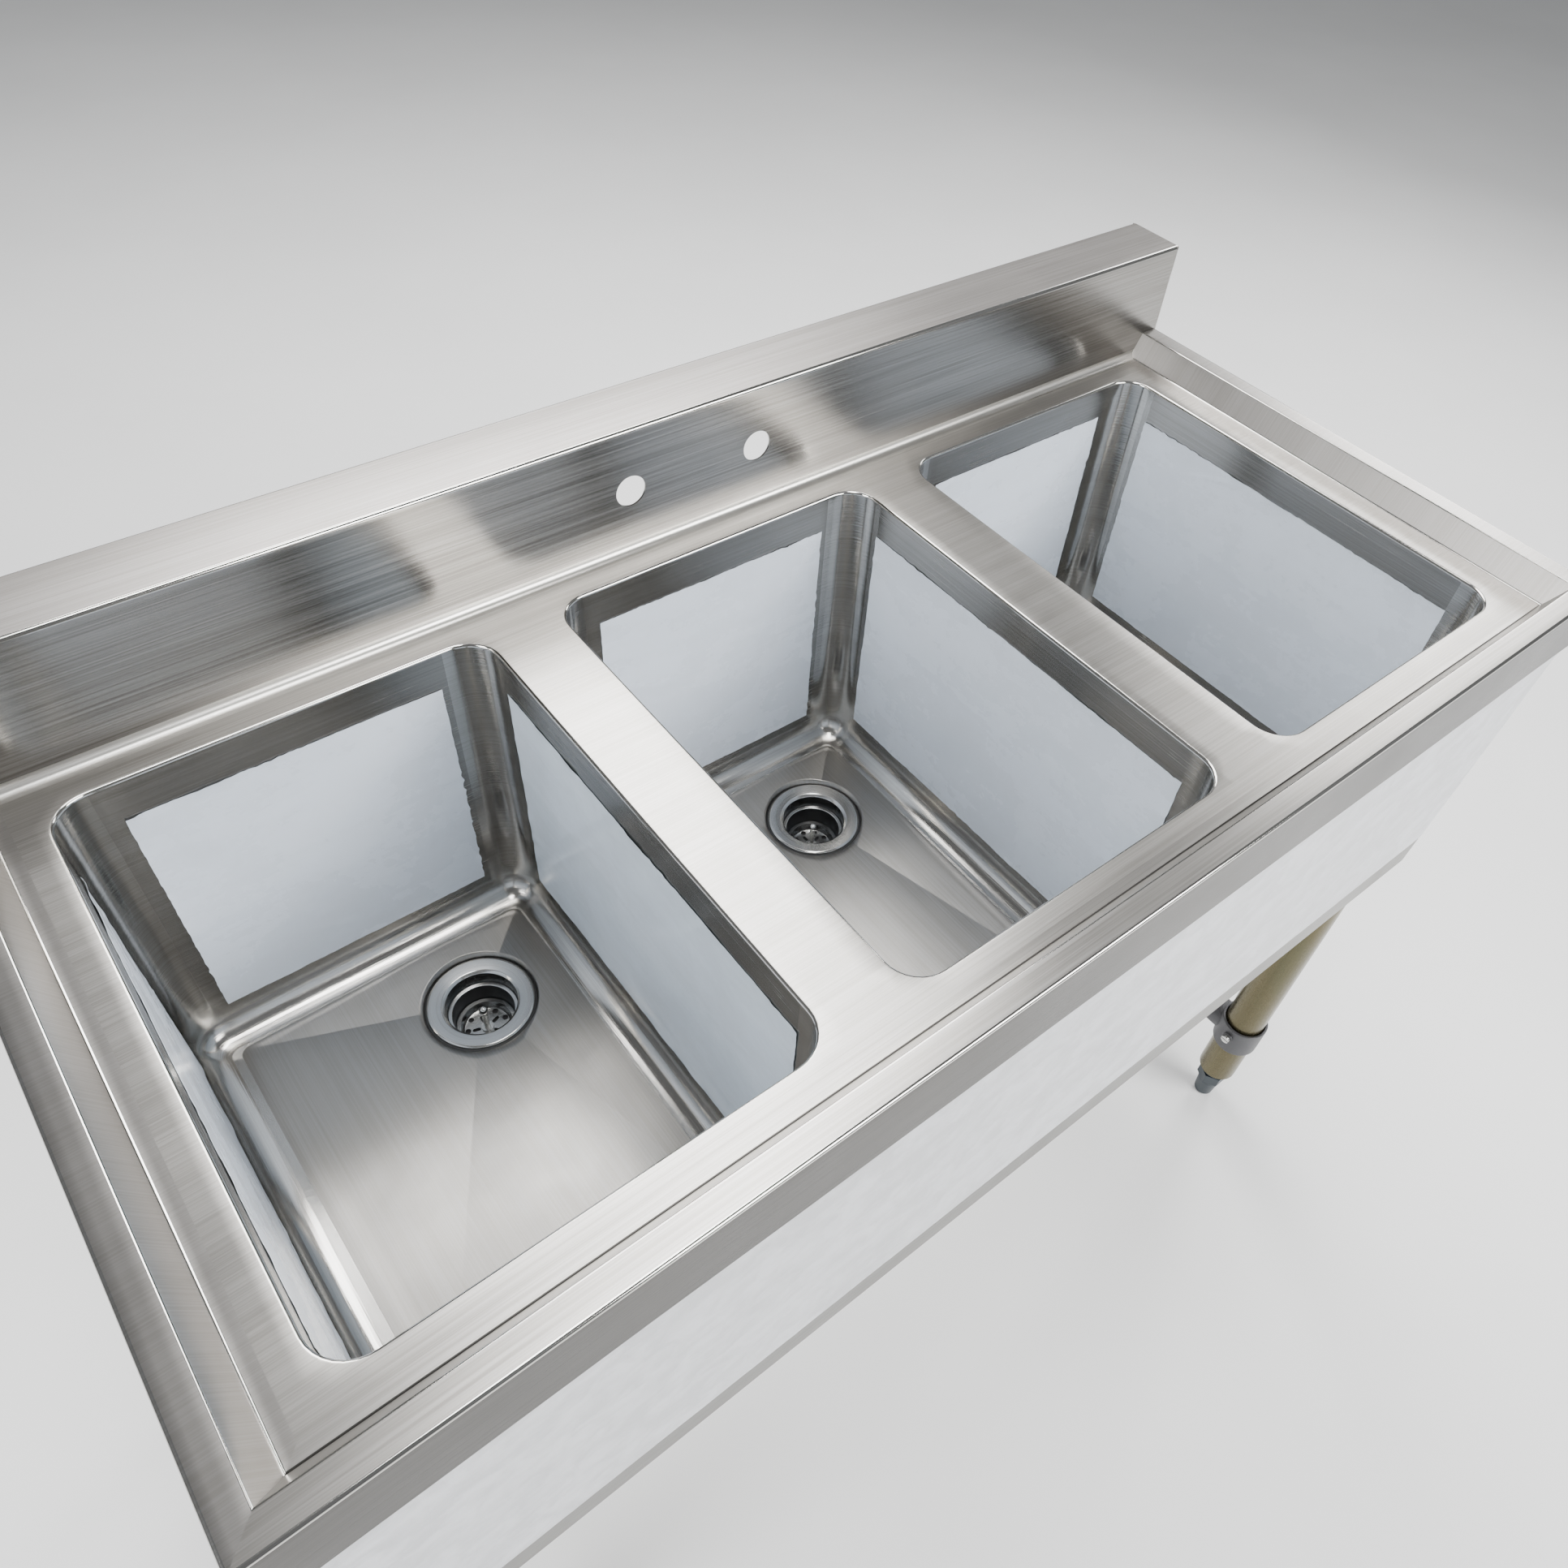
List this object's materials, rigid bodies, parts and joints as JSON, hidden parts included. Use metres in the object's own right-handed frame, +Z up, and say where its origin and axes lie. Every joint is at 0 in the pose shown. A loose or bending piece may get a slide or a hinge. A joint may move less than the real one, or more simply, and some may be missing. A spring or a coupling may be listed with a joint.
{
  "type": "three compartment sink",
  "caption": "Free-standing stainless sink with three deep bowls in a row, a raised front and side edge, a low backsplash with faucet holes, a front apron and tube legs with levelling feet.",
  "frame": {"origin": "on the floor under the middle of the sink's outline", "axes": "+X to the right along the row of bowls, +Y to the back (the backsplash), +Z up"},
  "size_m": [0.9652, 0.4786, 0.838],
  "materials": {
    "stainless_sheet": "brushed along the sink, satin",
    "stainless_bowl": "brushed, ground smooth at the welded corners",
    "protective_film": "thin pale blue-white peel-off film, satin",
    "polished_steel": "polished stainless steel with fine turning marks",
    "black_rubber": "matt black rubber",
    "fibre_washer": "brown fibre board",
    "cast_grey": "dull grey casting with bright machined rims",
    "galvanised_steel": "hot-dip galvanised, dull with faint spangle",
    "passivated_tube": "zinc plated tube, golden-olive passivation",
    "dark_nylon": "dark blue-grey moulded nylon",
    "zinc_fasteners": "bright zinc plated"
  },
  "bodies": {
    "sink": {"sink_top": "stainless_sheet", "front_apron": "stainless_sheet", "apron_film": "protective_film", "bowl_left": "stainless_bowl", "bowl_film_left": "protective_film", "drain_body_left": "polished_steel", "drain_gasket_left": "black_rubber", "drain_washer_left": "fibre_washer", "drain_nut_left": "cast_grey", "bowl_middle": "stainless_bowl", "bowl_film_middle": "protective_film", "drain_body_middle": "polished_steel", "drain_gasket_middle": "black_rubber", "drain_washer_middle": "fibre_washer", "drain_nut_middle": "cast_grey", "bowl_right": "stainless_bowl", "bowl_film_right": "protective_film", "drain_body_right": "polished_steel", "drain_gasket_right": "black_rubber", "drain_washer_right": "fibre_washer", "drain_nut_right": "cast_grey", "end_rail_left": "galvanised_steel", "side_brace_left": "passivated_tube", "end_rail_right": "galvanised_steel", "side_brace_right": "passivated_tube", "leg_bracket_front_left": "galvanised_steel", "leg_front_left": "passivated_tube", "brace_collar_front_left": "cast_grey", "foot_insert_front_left": "dark_nylon", "leg_bracket_rear_left": "galvanised_steel", "leg_rear_left": "passivated_tube", "brace_collar_rear_left": "cast_grey", "foot_insert_rear_left": "dark_nylon", "leg_bracket_front_right": "galvanised_steel", "leg_front_right": "passivated_tube", "brace_collar_front_right": "cast_grey", "foot_insert_front_right": "dark_nylon", "leg_bracket_rear_right": "galvanised_steel", "leg_rear_right": "passivated_tube", "brace_collar_rear_right": "cast_grey", "foot_insert_rear_right": "dark_nylon", "bracket_bolts": "zinc_fasteners", "bracket_set_screws": "zinc_fasteners", "collar_set_screws": "zinc_fasteners"},
    "foot_front_left_body": {"foot_front_left": "dark_nylon"},
    "foot_rear_left_body": {"foot_rear_left": "dark_nylon"},
    "foot_front_right_body": {"foot_front_right": "dark_nylon"},
    "foot_rear_right_body": {"foot_rear_right": "dark_nylon"},
    "strainer_left": {"basket_left": "polished_steel", "basket_stopper_left": "black_rubber", "basket_post_left": "polished_steel"},
    "strainer_middle": {"basket_middle": "polished_steel", "basket_stopper_middle": "black_rubber", "basket_post_middle": "polished_steel"},
    "strainer_right": {"basket_right": "polished_steel", "basket_stopper_right": "black_rubber", "basket_post_right": "polished_steel"}
  },
  "joints": [
    {"name": "foot_front_left_screw", "type": "slide", "parent": "sink", "child": "foot_front_left_body", "axis": [0, 0, 1], "range_m": [-0.0127, 0.0127]},
    {"name": "foot_rear_left_screw", "type": "slide", "parent": "sink", "child": "foot_rear_left_body", "axis": [0, 0, 1], "range_m": [-0.0127, 0.0127]},
    {"name": "foot_front_right_screw", "type": "slide", "parent": "sink", "child": "foot_front_right_body", "axis": [0, 0, 1], "range_m": [-0.0127, 0.0127]},
    {"name": "foot_rear_right_screw", "type": "slide", "parent": "sink", "child": "foot_rear_right_body", "axis": [0, 0, 1], "range_m": [-0.0127, 0.0127]},
    {"name": "strainer_left_lift", "type": "slide", "parent": "sink", "child": "strainer_left", "axis": [0, 0, 1], "range_m": [0, 0.4]},
    {"name": "strainer_middle_lift", "type": "slide", "parent": "sink", "child": "strainer_middle", "axis": [0, 0, 1], "range_m": [0, 0.4]},
    {"name": "strainer_right_lift", "type": "slide", "parent": "sink", "child": "strainer_right", "axis": [0, 0, 1], "range_m": [0, 0.4]}
  ]
}
